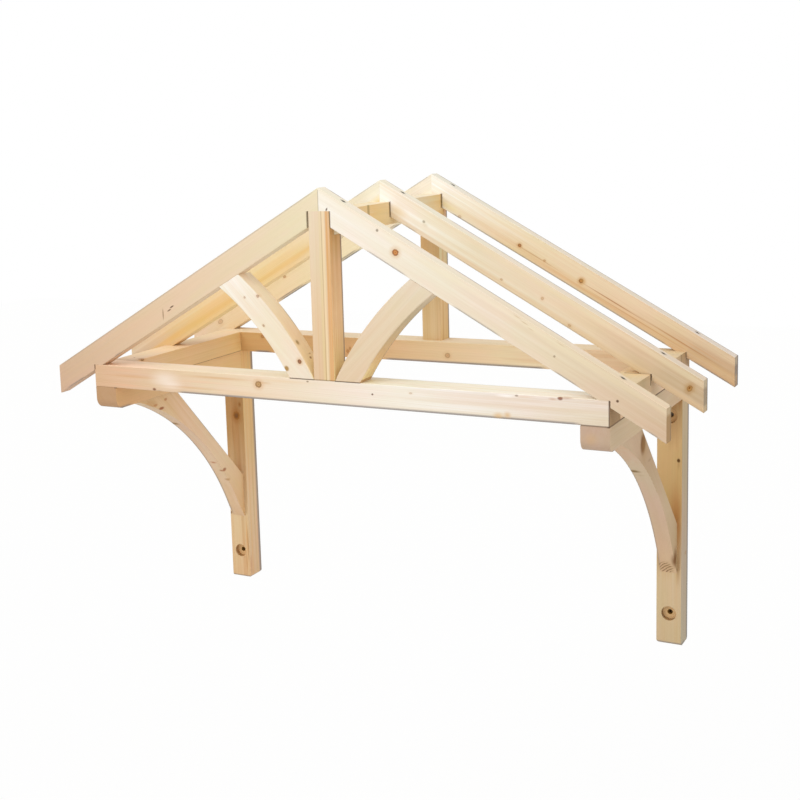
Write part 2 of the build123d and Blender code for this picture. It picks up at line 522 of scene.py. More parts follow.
def crossSection(tree, bend, place, whole):
    # where a point lies across the grain; a bent timber measures from the axis that it is bent round
    if bend is None:
        return place
    axis, first, second = bend
    x, y, z = splitXyz(tree, whole)
    one, other = (x, z) if axis == "y" else (y, z)
    away = joinXyz(tree, minus(tree, one, first / 1000), minus(tree, other, second / 1000), 0.0)
    return joinXyz(tree, 0.0, y if axis == "y" else x, vectors(tree, "LENGTH", away))


def spreadToneAndLight(tree, tones, share):
    # the front's colours, and those of the other faces where a face looks that way; they include painted
    # light and shade, each face's colours set lighter or darker as the lamps fall on it
    colour = toneRamp(tree, share, tones["front"])
    for way, codes in tones.items():
        if way != "front":
            mask = useGroup(tree, facing, way=Vector(ways[way]).normalized())["mask"]
            colour = blend(tree, mask, colour, toneRamp(tree, share, codes))
    return colour


def paint(tree, group, colour, code, **values):
    return useGroup(tree, group, under=colour, over=shade(code), **values)["colour"]


def growWood(tree, timber, place, grain):
    # rings pushed aside by knots, fibre and end grain, over the tones and stripes of the timber
    seed = timber["seed"]
    heart, rim, halo, bulge = 0.0, 0.0, 0.0, 0.0
    for centre, size, tone in timber["knots"]:
        heart, rim, halo, bulge = useGroup(
            tree, knotGroup, place=place, centre=toMetres(centre), size=toMetres(size), tone=tone,
            heartBefore=heart, rimBefore=rim, haloBefore=halo, bulgeBefore=bulge)
    rings = useGroup(
        tree, growthRings, place=place, pith=toMetres((0, *timber["pith"])), lean=(0, *timber["lean"]),
        ringWidth=timber["ringWidth"] / 1000, wander=timber["wander"] / 1000, bulge=bulge, seed=seed)
    fibre = useGroup(tree, woodFibre, place=place, seed=seed)
    end = useGroup(tree, endGrain, way=grain)["mask"]
    wave = times(tree, minus(tree, fibre["coarse"], 0.5), finish["blur"])
    share = times(tree, splitXyz(tree, place)[0], 500 / timber["half"])
    colour = spreadToneAndLight(tree, timber["tones"], plus(tree, share, plus(tree, wave, 0.5)))
    for axis, middle, width, slope, strength, code in timber["stripes"]:
        colour = paint(
            tree, stripeGroup, colour, code, place=place, across=[float(axis == other) for other in "xyz"],
            middle=middle / 1000, width=width / 1000, slope=slope, strength=strength, seed=seed)
    knotHeart, knotRim = (shade(code) for code in timber["knotTones"])
    return useGroup(
        tree, woodTone, base=colour, knotHeart=knotHeart, knotRim=knotRim, warmth=timber["warmth"],
        contrast=timber["contrast"], late=rings["late"], band=rings["band"], fine=fibre["fine"],
        coarse=fibre["coarse"], patch=fibre["patch"], heart=heart, rim=rim, halo=halo, end=end)


def layMarks(tree, timber, place, whole, colour):
    # painted edge shade and marks in the timber's own coordinates, then stains, painted shade at joints
    # and holes in the canopy's
    section, along = crossSection(tree, timber["bend"], place, whole), splitXyz(tree, place)[0]
    for across, width, strength, *stretches in timber["edges"]:
        for start, stop in stretches or [(-timber["half"] * 2, timber["half"] * 2)]:
            colour = paint(
                tree, edgeShadeLine, colour, greyEdgeShade, section=section, edge=toMetres((0, *across)),
                width=width / 1000, strength=strength, along=along, start=start / 1000, stop=stop / 1000)
    for label, where, square in (("marks", place, 0.0), ("stains", whole, 0.0), ("joints", whole, 1.0)):
        for centre, size, strength, *code in timber[label]:
            colour = paint(
                tree, markGroup, colour, *code or [creviceShade], place=where, centre=toMetres(centre),
                size=toMetres(size), soft=finish["firm"] if size[0] <= finish["smallMark"] else 1.0,
                square=square, strength=strength)
    for centre in timber["bolts"]:
        colour = useGroup(tree, boltShade, place=whole, centre=toMetres(centre), under=colour)["colour"]
    for centre, size, pith, spacing, strength, code in timber["arcs"]:
        colour = paint(
            tree, toeArcs, colour, code, place=whole, centre=toMetres(centre), size=toMetres(size),
            pith=toMetres(pith), spacing=spacing / 1000, strength=strength)
    return colour


def dressTimber(timber):
    # gives a CAD timber its own spruce material
    timber, mesh = {**plainTimber, **timber}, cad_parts[timber["node"]].data
    low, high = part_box(timber["node"])
    turn = [radians(angle) for angle in timber["lie"]]
    material = bpy.data.materials.new(timber["node"] + "_spruce")
    material.use_nodes = True
    tree = material.node_tree
    whole = addNode(tree, "ShaderNodeTexCoord").outputs["Object"]
    mapping = addNode(tree, "ShaderNodeMapping", vector_type="TEXTURE")
    feed(tree, mapping, ("Vector", "Location", "Rotation"), whole, (low + high) / 2, turn)
    place = mapping.outputs[0]
    wood = growWood(tree, timber, place, Euler(turn).to_matrix().col[0])
    bump = addNode(tree, "ShaderNodeBump")
    feed(tree, bump, ("Strength", "Distance", "Height"),
         finish["bump"], finish["depth"] / 1000, wood["height"])
    feed(tree, tree.nodes["Principled BSDF"], ("Base Color", "Roughness", "Specular IOR Level", "Normal"),
         layMarks(tree, timber, place, whole, wood["colour"]), wood["roughness"], finish["specular"],
         bump.outputs[0])
    mesh.materials.clear()
    mesh.materials.append(material)


# the timbers, in millimetres, with colours as six hex digits
# half is half the length that the tones spread over; pith is where the rings centre across the grain, and
# lean is how that shifts along it; bend is the axis and its place in the canopy's other two coordinates
# tones are colours along the grain for the faces that look that way, and front is for all the others;
# they hold painted light and shade as well as the wood's colour, each face lighter or darker as light falls
# knots are (centre, half sizes, strength); marks, stains and shade blocks may have a colour after that;
# shade blocks are painted shade at joints: in the crevices where timbers meet, and along some lower edges and
# ends
# stripes are (axis across, middle, half width, slope, strength, colour)
# arcs are (centre, half sizes, pith, spacing, strength, colour), and bolts are where the holes start
# lines of painted shade along edges are (place across, width, strength) and the stretches that a broken
# line runs along; on a bent timber the place is along the axis and out from it

# crossbeams
frontCrossbeam = {
    "node": "front_crossbeam", "lie": alongX, "half": 750, "seed": 3.1, "pith": (-30, -75),
    "lean": (0.01, 0.02), "ringWidth": 4.2, "wander": 16, "contrast": 0.18,
    "tones": {
        "front": "D5B18F E6D3B8 EEE7DE DDCDBA", "top": "FFE1C6 F0E6CF F4EEDB FBF6E6", "right": "A68863",
    },
    "knotTones": ("B8905A", "80582C"),
    "knots": [((-201, -42, 9), (9, 16, 8), 0.8), ((245, -42, 15), (4, 12, 2), 0.3)],
    "marks": [
        ((-505, -42, 2), (70, 8, 34), 0.5, "F8ECE2"), ((-480, -42, -12), (50, 8, 14), 0.35, "F8ECE2"),
        ((138, -42, 5), (4, 4, 3.5), 0.9, "5A3410"), ((499, -42, 26), (36, 5, 6), 0.6, "FFFCF6"),
        ((524, -42, 28), (6, 4, 3), 0.8, "8A7A6C"), ((632, -42, 29), (9, 6, 6), 0.85, "7A3A10"),
        ((646, -40, 31), (26, 10, 6), 0.5, "A8704A"), ((614, -42, 26), (16, 5, 4), 0.5, "B8804E"),
        ((477, -42, -24), (20, 6, 12), 0.6, "D8AC68"), ((500, -42, -21), (14, 6, 12), 0.6, "D4A660"),
        ((-544, -42, -27), (8, 5, 5), 0.85, "7A4A2C"), ((-528, -42, -31), (18, 5, 3.5), 0.6, "8A6A50"),
        ((-50, -42, 26), (5, 5, 3), 0.75, "7E6440"), ((-180, -42, 14), (30, 5, 5), 0.35, "C89A5C"),
        ((545, -42, 27), (40, 4, 4), 0.35, "E2B98C"), ((-620, -42, 5), (120, 5, 8), 0.5, "D0A070"),
        ((-330, -42, 18), (160, 5, 6), 0.55, "CE9E6A"), ((-420, -42, -14), (150, 5, 5), 0.4, "D2A674"),
        ((-660, -42, 22), (90, 5, 6), 0.4, "E6B090"), ((-640, -42, -22), (90, 5, 6), 0.4, "E8B48F"),
        ((-250, -42, -20), (110, 5, 6), 0.3, "DDB98C"), ((-380, -42, 4), (120, 5, 5), 0.3, "E8B894"),
        ((-120, -42, 22), (110, 5, 6), 0.3, "E0C08E"),
    ],
    "edges": [((-42.5, -31.5), 8, 0.8, (-470, 690)), ((42.5, 31.5), 6, 0.35, (-264, -164), (100, 660))],
    "joints": [
        ((750, -730, 0), (3, 3, 34), 0.75), ((-750, -730, 26), (3, 3, 9), 0.6),
        ((67, -730, 32), (38, 3, 2), 0.6), ((-67, -730, 32), (38, 3, 2), 0.6),
        ((715, -700, -31.5), (40, 60, 3), 0.45),
    ],
}
rearCrossbeam = {
    "node": "rear_crossbeam", "lie": alongX, "half": 750, "seed": 7.7, "pith": (40, -60),
    "lean": (0.0, 0.015),
    "tones": {
        "front": "CAA168 D3A877 EFD9B5 DEB792", "top": "EED6B6 EBD9BA F3E0C1 DFCBA5", "right": "B29773",
    },
    "knots": [
        ((-584, -42, 20), (6, 14, 5), 0.5), ((60, -42, -8), (8, 20, 7), 0.4),
        ((420, 42, 6), (10, 24, 9), 0.6), ((-276, -42, -12), (4, 12, 5), 0.55),
        ((-268, -42, -3), (3, 10, 4), 0.5),
    ],
    "edges": [((-42.5, -31.5), 9, 0.8, (-625, -542), (-156, 373))],
}
dressTimber(frontCrossbeam)
dressTimber(rearCrossbeam)

# king posts
frontKingPost = {
    "node": "front_king_post", "lie": upright, "half": 217, "seed": 11.3, "pith": (50, 60), "ringWidth": 3.8,
    "wander": 5, "contrast": 0.1,
    "tones": {"front": "D9BC97 DEC09C E0CAAA E3D0B4", "right": "FFF8BC F7DCB2 E4C298 AE924E"},
    "stripes": [
        ("z", -3, 5, 0, 0.5, "E2CE9C"), ("z", -7.5, 1.7, 0, 0.6, "A98A52"),
        ("z", -12, 5, 0, 0.6, "F2DCB4"), ("z", -25, 9, 0, 0.85, "D9A263"),
        ("y", -22, 5, 0, 0.35, "DBA064"),
    ],
    "edges": [((31, -30.5), 11, 0.75)],
    "joints": [
        ((0, -730, 31.5), (32, 3, 3), 0.5), ((30.5, -700, 446), (2, 26, 22), 0.45, "6E5A3A"),
    ],
}
rearKingPost = {
    "node": "rear_king_post", "lie": upright, "half": 218, "seed": 13.9, "pith": (40, -50),
    "tones": {"front": "DCBE92 C9A877 C4A070", "right": "E3C58C E1BC8C D5C79C E8B897"},
    "stripes": [("y", -8, 9, 0.03, 0.5, "C88E50")],
    "edges": [((31, -30.5), 13, 0.8)],
}
dressTimber(frontKingPost)
dressTimber(rearKingPost)

# ridge beam
ridgeBeam = {
    "node": "ridge_beam", "lie": alongY, "half": 339, "seed": 17.2, "pith": (-50, -60), "contrast": 0.12,
    "tones": {"front": "E4C48E", "right": "E6D8BB ECCB8F E2D6B5 E3C388", "top": "F3DEB4 F1E4CB"},
    "joints": [
        ((30, -512, 440), (3, 7, 40), 0.5, "7E6A3A"), ((30, -385, 448), (3, 4, 22), 0.5, "6E4A22"),
        ((30, -42, 448), (3, 4, 22), 0.5, "6E4A22"),
    ],
}
dressTimber(ridgeBeam)

# struts
leftStrut = {
    "node": "left_strut", "lie": leanLeft, "half": 187, "seed": 19.4, "pith": (-60, 40),
    "bend": ("y", -761, -341), "ringWidth": 4.0, "contrast": 0.08,
    "tones": {"front": "F3EDE1 EBDEC8 EADAC1 E7D7C3", "right": "F0DCB8 F9E7C8 F6DDB4 FFF0C0"},
    "knotTones": ("A87450", "70442A"),
    "knots": [
        ((-71, -31, 40), (4, 10, 3), 0.5), ((-96, -31, 8), (3, 10, 2.5), 0.4),
        ((-5, -31, -3), (3.5, 10, 2.5), 0.5), ((133, -31, 10), (5.5, 14, 5), 1.0),
    ],
    "marks": [
        ((120, -31, -33), (10, 10, 9), 0.9, "A47A30"), ((89, -13, 32), (9, 8, 10), 0.7, "94783C"),
        ((89, -13, 32), (16, 14, 12), 0.3, "B08A48"), ((138, 5, 24), (5, 6, 6), 0.75, "8A5A2C"),
        ((127, 11, 26), (3, 8, 5), 0.5, "A8834C"),
    ],
    "edges": [((-668, 820), 7, 0.65, (-35, 62))],
    "joints": [((-67, -730, 32), (40, 4, 2), 0.85)],
}
rightStrut = {
    "node": "right_strut", "lie": leanRight, "half": 186, "seed": 23.8, "pith": (-70, 30),
    "bend": ("y", 761, -341), "ringWidth": 4.2, "contrast": 0.06,
    "tones": {"front": "DDC5A8 DDC9AC DFCDB2 E0D2BC", "right": "FFF4BC E0BC86 C6B494 C6B494"},
    "edges": [((-668, 755), 8, 0.6)],
    "joints": [((67, -730, 32), (40, 4, 2), 0.85), ((109, -690, 34), (8, 40, 7), 0.6, "A8642A")],
}
dressTimber(leftStrut)
dressTimber(rightStrut)

# screws, by their distance from the rafter's middle
screwHeads = {
    "nearRidge": 456, "nearEaves": 366, "seat": 35.5, "rim": (13, 9, 5), "rimShift": 0.5,
    "radius": 4.6, "rise": 0.5, "sides": 36, "lobes": 6, "lobeDepth": 0.16, "socket": 0.5,
    # from rim to middle, as shares of radius and rise; the socket is what lies inside its share
    "profile": ((1, -1), (1, 0), (0.95, 0.12), (0.8, 0.45), (0.6, 0.75), (0.5, 0.8), (0.44, 0.5),
                (0.4, -0.6), (0, -0.8)),
}


def screwShadows(side, nearRidge):
    # the dark rims of a rafter's two screw holes; side is 1 on the right and -1 on the left
    top = screwHeads["seat"] + screwHeads["rimShift"]
    spots = ((-nearRidge, 0.95, "30261A"), (screwHeads["nearEaves"], 0.9, "382A1C"))
    return [((side * along, 1, top), screwHeads["rim"], strength, code) for along, strength, code in spots]


# front rafters
rightFrontRafter = {
    "node": "right_front_rafter", "lie": fallRight, "half": 524, "seed": 29.1, "pith": (-80, 30),
    "ringWidth": 4.4, "wander": 10, "contrast": 0.04, "warmth": 0.5,
    "tones": {
        "front": "F4ECE3 EADECB E0CEB4 CBB295", "top": "F8F0E0 F2E7D4 EBDBC4 E6C8AA", "right": "A88659",
    },
    "knotTones": ("C9823C", "8A4E1E"),
    "knots": [((-263, -20, 2), (8, 26, 7.5), 0.9)],
    "stripes": [("z", 28, 14, 0, 0.35, "EFE2C4")],
    "marks": [
        *screwShadows(1, 457), ((-480, -20, 0), (3, 4, 6), 0.85),
        ((-332, -20, 25), (5, 5, 5), 0.7, "6A5636"), ((207, -20, -3), (4, 5, 4), 0.6, "7A6040"),
        ((84, -20, 30), (16, 4, 2.2), 0.5, "C0A270"), ((106, -20, 27), (17, 4, 2.2), 0.55, "BC9E6C"),
        ((127, -20, 22), (14, 4, 2), 0.45, "C2A474"), ((206, -20, 30), (16, 4, 2.2), 0.4, "C0A278"),
        ((385, -20, -12), (4.5, 4, 4.5), 0.9, "4E2C10"),
    ],
    "edges": [
        ((20, 35.5), 9, 0.6, (-530, -453), (-308, -223), (-137, 225)),
        ((-20, -35.5), 6, 0.55, (-343, -200), (-79, 80), (211, 302), (465, 520)),
    ],
    "joints": [
        ((0, -730, 486), (1.6, 3, 36), 0.5, "7A6A50"), ((33, -730, 446), (2, 3, 22), 0.5),
        ((881, -691, -18), (4, 8, 50), 0.45, "7E6A50"),
    ],
}
leftFrontRafter = {
    "node": "left_front_rafter", "lie": fallLeft, "half": 520, "seed": 31.6, "pith": (-90, -20),
    "ringWidth": 4.4, "wander": 10, "contrast": 0.05, "warmth": 0.6,
    "tones": {"front": "CAAA8F DABE9F E2CDB0 E6DBBC"},
    "marks": [
        *screwShadows(-1, 457), ((-38, -20, -8), (10, 4, 2.6), 0.9, "4A3018"),
        # the two long dark marks on the lower edge, at -36, are painted shade under the rafter
        ((-51, -20, -12), (10, 4, 2.6), 0.8, "5A3C20"), ((-300, -20, -36), (250, 4, 2.6), 0.6, "6E5636"),
        ((40, -20, -36), (200, 4, 2.2), 0.4, "8A7048"),
    ],
    "stains": [((-500, -730, 186), (2.4, 4, 20), 0.75, "7A5A38")],
    "edges": [
        ((-20, -35.5), 5, 0.5, (-510, -414), (-302, -251)),
        ((20, -35.5), 6, 0.6, (-510, -414), (-302, -251)), ((-20, 35.5), 6, 0.3, (-484, 524)),
    ],
    "joints": [((0, -730, 486), (1.6, 3, 36), 0.5, "7A6A50"), ((-33, -730, 446), (3, 3, 22), 0.7)],
}
dressTimber(rightFrontRafter)
dressTimber(leftFrontRafter)

# middle rafters
rightMiddleRafter = {
    "node": "right_middle_rafter", "lie": fallRight, "half": 523, "seed": 37.7, "pith": (-60, -50),
    "ringWidth": 4.0, "contrast": 0.07, "warmth": 0.7,
    "tones": {
        "front": "FFFFFA EADEC7 E6D0B3 C5AD8E", "top": "F5EFDF EEE8DB E7D9CD D9C9BA", "right": "A08E74",
    },
    "knotTones": ("B8843C", "84541C"),
    "knots": [
        ((-90, -20, -19), (3.5, 10, 2.5), 0.4), ((31, -20, -4), (4, 10, 4), 0.35),
        ((128, -20, -27), (4, 10, 3), 0.35), ((468, -20, 0), (6, 14, 8), 0.9),
    ],
    "stripes": [("z", 28, 14, 0, 0.4, "ECDEBC"), ("z", -29, 13, 0, 0.55, "DEC298")],
    "marks": [
        *screwShadows(1, 457), ((-357, -20, 3), (6, 5, 5), 0.6, "7E6E42"),
        # the wide golden mark near the ridge, at -440, is painted shade beside the notch
        ((-350, -20, -2), (14, 5, 9), 0.25, "C8AE7A"), ((-440, -20, -14), (46, 5, 32), 0.45, "E6C88C"),
        ((468, -20, 0), (26, 5, 22), 0.4, "B4925E"), ((467, -20, 1), (3, 5, 5), 0.85, "7A4410"),
    ],
    "edges": [
        ((20, 35.5), 9, 0.6, (-530, -461), (-313, 347), (437, 488)),
        ((-20, -35.5), 6, 0.5, (-413, -352), (487, 520)), ((-20, -35.5), 5, 0.3, (-255, 205)),
    ],
    "joints": [
        ((33, -385, 440), (2, 3, 30), 0.4), ((0, -385, 486), (1.6, 3, 36), 0.3, "9A8A60"),
        ((881, -344, -18), (4, 9, 50), 0.8, "766C66"),
    ],
}
leftMiddleRafter = {
    "node": "left_middle_rafter", "lie": fallLeft, "half": 518, "seed": 41.3, "pith": (-40, -60),
    "ringWidth": 3.4,
    "tones": {"front": "D1B798 EDCC92 EFD5A0 F3F0E3"},
    "stripes": [("z", -16, 12, 0, 0.5, "E6BC6C"), ("z", 22, 14, 0, 0.3, "F3E6CC")],
    "marks": [*screwShadows(-1, 457), ((500, -20, -10), (40, 5, 18), 0.4, "EBD48C")],
    "edges": [((20, -35.5), 7, 0.7, (-310, -270), (200, 420)), ((-20, 35.5), 5, 0.3, (416, 530))],
}
dressTimber(rightMiddleRafter)
dressTimber(leftMiddleRafter)

# rear rafters
rightRearRafter = {
    "node": "right_rear_rafter", "lie": fallRight, "half": 524, "seed": 43.9, "pith": (-40, 70),
    "lean": (0.0, 0.03), "ringWidth": 3.8, "contrast": 0.22,
    "tones": {
        "front": "FDFCF6 E5D4B1 E2C8A7 C6A784", "top": "EAE6D6 E8DCC7 E1D3C0 DACEC2", "right": "8E7C6C",
    },
    "knots": [
        ((-187, -20, -10), (5, 12, 4.5), 0.9), ((20, -20, -5), (6, 12, 6), 1.0),
        ((-389, -20, -30), (5, 12, 4), 0.3), ((-101, -20, -10), (3.5, 12, 3), 0.4),
    ],
    "stripes": [("z", -22, 18, 0, 0.35, "DDB680"), ("z", 24, 14, 0, 0.3, "EBDCB8")],
    "marks": [
        *screwShadows(1, 460), ((24, -20, -2), (18, 5, 13), 0.5, "CBA05C"),
        ((-130, -20, -13), (110, 4, 2.5), 0.6, "B0763C"), ((130, -20, -8), (150, 4, 2.6), 0.9, "A86C34"),
        ((340, -20, -6), (170, 4, 2.8), 0.8, "B0743C"), ((230, -20, -18), (240, 4, 2.6), 0.6, "B87E44"),
        ((60, -20, -22), (260, 4, 5), 0.35, "CE9A60"), ((400, -20, 4), (130, 4, 4), 0.35, "C8905C"),
        ((-440, -20, -22), (90, 5, 16), 0.6, "F0E2AC"),
    ],
    "edges": [((20, 35.5), 9, 0.6, (-530, 490)), ((-20, -35.5), 6, 0.6, (-431, 328), (388, 530))],
    "joints": [((33, -40, 440), (2, 3, 30), 0.4), ((881, 0, -18), (4, 10, 50), 0.9, "706868")],
}
leftRearRafter = {
    "node": "left_rear_rafter", "lie": fallLeft, "half": 519, "seed": 47.2, "pith": (-50, 50),
    "lean": (0.0, 0.02), "ringWidth": 4.0, "contrast": 0.18,
    "tones": {"front": "E7CCAE ECD5AC EEE3BF F4EFE0"},
    "knots": [((-81, -20, 18), (5, 12, 4), 0.5), ((-378, -20, 9), (10, 18, 7), 0.3)],
    "marks": [*screwShadows(-1, 460)],
    "edges": [
        ((13, -35.5), 11, 0.85, (-328, -284), (-160, -22), (100, 200), (310, 360)),
        ((1, -35.5), 12, 0.7, (-155, -24), (105, 198), (312, 358)),
        ((-20, -35.5), 5, 0.6, (-155, -24), (105, 198), (312, 358)), ((-20, 35.5), 5, 0.4, (428, 530)),
    ],
}
dressTimber(rightRearRafter)
dressTimber(leftRearRafter)

# purlins
leftPurlin = {
    "node": "left_purlin", "lie": alongY, "half": 279, "seed": 53.4, "pith": (50, -50),
    "tones": {
        "front": "E2BC90 DFB884", "right": "E3C39A E3BC8A E0B985 E7BF80",
        "top": "D7BB9E F5D8B0 E2C6A1 F0D3AB",
    },
    "knots": [((-248, -36, 31), (8, 8, 6), 0.7)],
    "marks": [((-232, 0, 31), (4, 4, 6), 0.8)],
    "joints": [((-668, -365, -31.5), (6, 400, 2.4), 0.8)],
}
rightPurlin = {
    "node": "right_purlin", "lie": alongY, "half": 280, "seed": 59.8, "pith": (-50, -60),
    "tones": {
        "front": "BFA582", "right": "E0C19C B7A27D E2C4A4 BCA27F", "top": "E2D0AE E1CFAD FFDBA5 DBCAAD",
    },
    "joints": [
        ((750, -365, -31.5), (6, 400, 2.4), 0.7), ((750, -387, 18), (3, 4, 16), 0.8),
        ((718, -387, 31.5), (36, 4, 3), 0.7, "6A4A20"), ((750, -88, 18), (3, 4, 16), 0.5),
    ],
}
dressTimber(leftPurlin)
dressTimber(rightPurlin)

# bracket arms
leftArm = {
    "node": "left_arm", "lie": alongY, "half": 330, "seed": 61.5, "pith": (-60, 40), "contrast": 0.1,
    "warmth": 0.4,
    "tones": {"front": "BA9470", "right": "D6AC7B DCB789 E7C28E E7BF85"},
    "edges": [((-35, -32), 9, 0.6, (-340, -250))],
    "joints": [
        ((-680, -365, -31.5), (6, 400, 2.4), 0.8),
        ((-715, -714, -95.5), (40, 20, 4), 0.6, greyEdgeShade),
    ],
}
rightArm = {
    "node": "right_arm", "lie": alongY, "half": 330, "seed": 67.9, "pith": (60, 40), "contrast": 0.1,
    "warmth": 0.4,
    "tones": {"front": "BDA38D", "right": "CCB497 C8B390 C8B292 CBAC8A"},
    "marks": [((-330, 10, 0), (12, 26, 24), 0.4, "C9A474")],
    "joints": [
        ((750, -365, -31.5), (6, 400, 2.4), 0.7), ((715, -730, -31.5), (40, 4, 2.4), 0.4),
        ((715, -714, -95.5), (40, 20, 4), 0.6, greyEdgeShade),
    ],
}
dressTimber(leftArm)
dressTimber(rightArm)

# braces
leftBrace = {
    "node": "left_brace", "lie": braced, "half": 363, "seed": 71.2, "pith": (70, 60),
    "bend": ("x", -904, -951), "contrast": 0.08,
    "tones": {
        "front": "D4AE80", "right": "D9B17D E1C5A1 E3C3A1 D8B787", "under": "D6B490 DBC09F D6B89C D4BC9C",
    },
    # the long grey mark is painted shade along the curved lower edge
    "marks": [((30, 22, 115), (230, 9, 4), 0.9, greyEdgeShade)],
    "stains": [
        ((-728, -390, -212), (26, 18, 11), 0.9, "856020"), ((-713, -210, -378), (18, 16, 6), 0.8, "B06840"),
        ((-700, -185, -410), (14, 12, 6), 0.85, "A0582C"), ((-692, -179, -407), (4, 14, 8), 0.75, "985024"),
        ((-696, -159, -446), (16, 16, 8), 0.7, "AC7A40"), ((-692, -104, -366), (4, 16, 9), 0.85, "744818"),
        ((-692, -501, -139), (5, 18, 6), 0.85, "94481C"), ((-692, -478, -116), (5, 10, 6), 0.6, "A85C28"),
        ((-692, -530, -124), (5, 14, 5), 0.6, "B0602C"), ((-692, -395, -110), (5, 9, 6), 0.5, "90643C"),
        ((-692, -560, -120), (5, 50, 20), 0.4, "BE8C54"),
    ],
    "edges": [((-737.5, 900), 9, 0.55)],
}
rightBrace = {
    "node": "right_brace", "lie": braced, "half": 364, "seed": 73.6, "pith": (-70, 60),
    "bend": ("x", -904, -951), "contrast": 0.06, "warmth": 0.5,
    "tones": {
        "front": "B89C78 C4AA8C", "right": "B39871 C2A887 B79A79 CAB294",
        "under": "CEAF8C CCB096 CBB599 CBA786",
    },
    # the long grey mark is painted shade along the curved lower edge
    "marks": [((135, 22, 115), (110, 9, 4), 0.9, greyEdgeShade)],
    "stains": [
        ((738, -410, -144), (10, 30, 36), 1.0, "6A3A04"), ((738, -400, -150), (12, 52, 70), 0.5, "A07838"),
        ((702, -366, -230), (24, 18, 10), 0.95, "7A5A1E"), ((712, -352, -246), (24, 14, 8), 0.4, "A08A5C"),
        # the dark blot at (738, -92, -546) is painted shadow of the gap between the toe and the post
        ((738, -92, -546), (14, 28, 46), 1.0, "70440A"), ((738, -352, -200), (6, 20, 5), 0.45, "9A7A58"),
        ((714, -90, -572), (30, 60, 32), 0.4, "BA9468"),
    ],
    "edges": [((692.5, 900), 6, 0.35)],
    "arcs": [((708, -88, -578), (26, 60, 26), (760, 0, -640), 7, 1.0, "7A5A30")],
}
dressTimber(leftBrace)
dressTimber(rightBrace)

# wall posts
leftPost = {
    "node": "left_post", "lie": upright, "half": 383, "seed": 79.1, "pith": (-75, 20),
    "lean": (0.01, -0.035), "wander": 12, "contrast": 0.2,
    "tones": {"front": "D1AF84 D8BC96 B88F5D B38A58", "right": "D9B792 E1C39F DDBA87 E9BF80"},
    "knotTones": ("5E3200", "965E10"),
    "knots": [((167, -35, -7), (13, 20, 11), 1.0)],
    "stripes": [
        ("z", -10, 8, 0.01, 0.3, "B98450"), ("y", -18, 5, 0, 0.45, "E0AE78"),
        ("y", 6, 5, 0, 0.35, "C9A870"),
    ],
    "marks": [
        ((-168, -35, 31), (6, 10, 4), 0.75, "6E4A2C"), ((-250, -35, -26), (120, 5, 5), 0.6, "D0985A"),
        ((166, -35, -7), (9, 6, 7), 0.95, "4A2800"), ((205, -35, -21), (14, 6, 9), 0.8, "8E561A"),
        ((180, -35, -6), (70, 6, 20), 0.55, "9A6630"), ((-300, -35, -14), (90, 4, 3), 0.5, "C8965A"),
        ((-290, -35, 4), (80, 4, 3), 0.4, "CCA068"), ((-270, -35, -30), (90, 4, 3), 0.8, "9A6430"),
        ((-335, -35, -22), (56, 4, 3.5), 0.75, "B47C40"), ((-345, -28, -34), (60, 9, 4), 0.6, "C78A5C"),
        ((-200, 18, -35), (200, 5, 4), 0.4, "DFA67C"), ((-120, 2, -35), (260, 6, 4), 0.4, "BE9C68"),
        ((120, -35, 10), (90, 4, 4), 0.4, "96683A"), ((60, -35, -12), (120, 4, 6), 0.35, "A87842"),
        ((-140, -35, 8), (60, 5, 5), 0.3, "C4A066"),
    ],
    "edges": [((35, -35), 20, 0.8)],
    "joints": [((-715, -60, -806), (40, 30, 7), 0.5, greyEdgeShade)],
    "bolts": [(-715, -70, -144.5), (-715, -70, -714.5)],
}
rightPost = {
    "node": "right_post", "lie": upright, "half": 384, "seed": 83.3, "pith": (-70, -40), "ringWidth": 3.8,
    "wander": 12, "contrast": 0.1,
    # the front's last and darkest colour, at the top, is painted shadow of the rafter above
    "tones": {"front": "C2AA85 CBB38E C7A46C CFAD79 936C42", "right": "AFA289 B29E86 B29E80 C0A983"},
    "knots": [((-125, 8, -35), (4, 6, 6), 0.3)],
    "marks": [
        ((150, -35, -25), (7.5, 7, 6), 1.0, "4A2600"), ((140, -35, -25), (24, 6, 5), 0.4, "9A7440"),
        ((-20, -35, -16), (140, 6, 24), 0.6, "B4743A"), ((-30, -35, -25), (110, 6, 9), 0.4, "B0713A"),
        ((-160, -35, -26), (70, 6, 9), 0.6, "A0784E"), ((330, -35, -28), (46, 6, 9), 0.5, "A8662C"),
    ],
    "edges": [((35, -35), 21, 0.85)],
    "joints": [((715, -60, -806), (40, 30, 8), 0.6, greyEdgeShade)],
    "bolts": [(715, -70, -144.5), (715, -70, -714.5)],
}
dressTimber(leftPost)
dressTimber(rightPost)
print("timbers dressed")


# screws in the rafters

def screwMesh(head):
    # a profile turned about z: r = radius * share, z = rise * level, and inside the socket r is also
    # times 1 + lobeDepth * cos(lobes * turn)
    share, level = np.array(head["profile"]).T
    turn = np.arange(head["sides"]) * 2 * pi / head["sides"]
    lobed = 1 + head["lobeDepth"] * np.cos(head["lobes"] * turn)
    radius = head["radius"] * share[:, None] * np.where(share[:, None] < head["socket"], lobed, 1.0)
    height = head["rise"] * level[:, None] + 0 * turn
    points = np.stack([radius * np.cos(turn), radius * np.sin(turn), height], -1)
    return points.reshape(-1, 3), len(share), head["sides"]


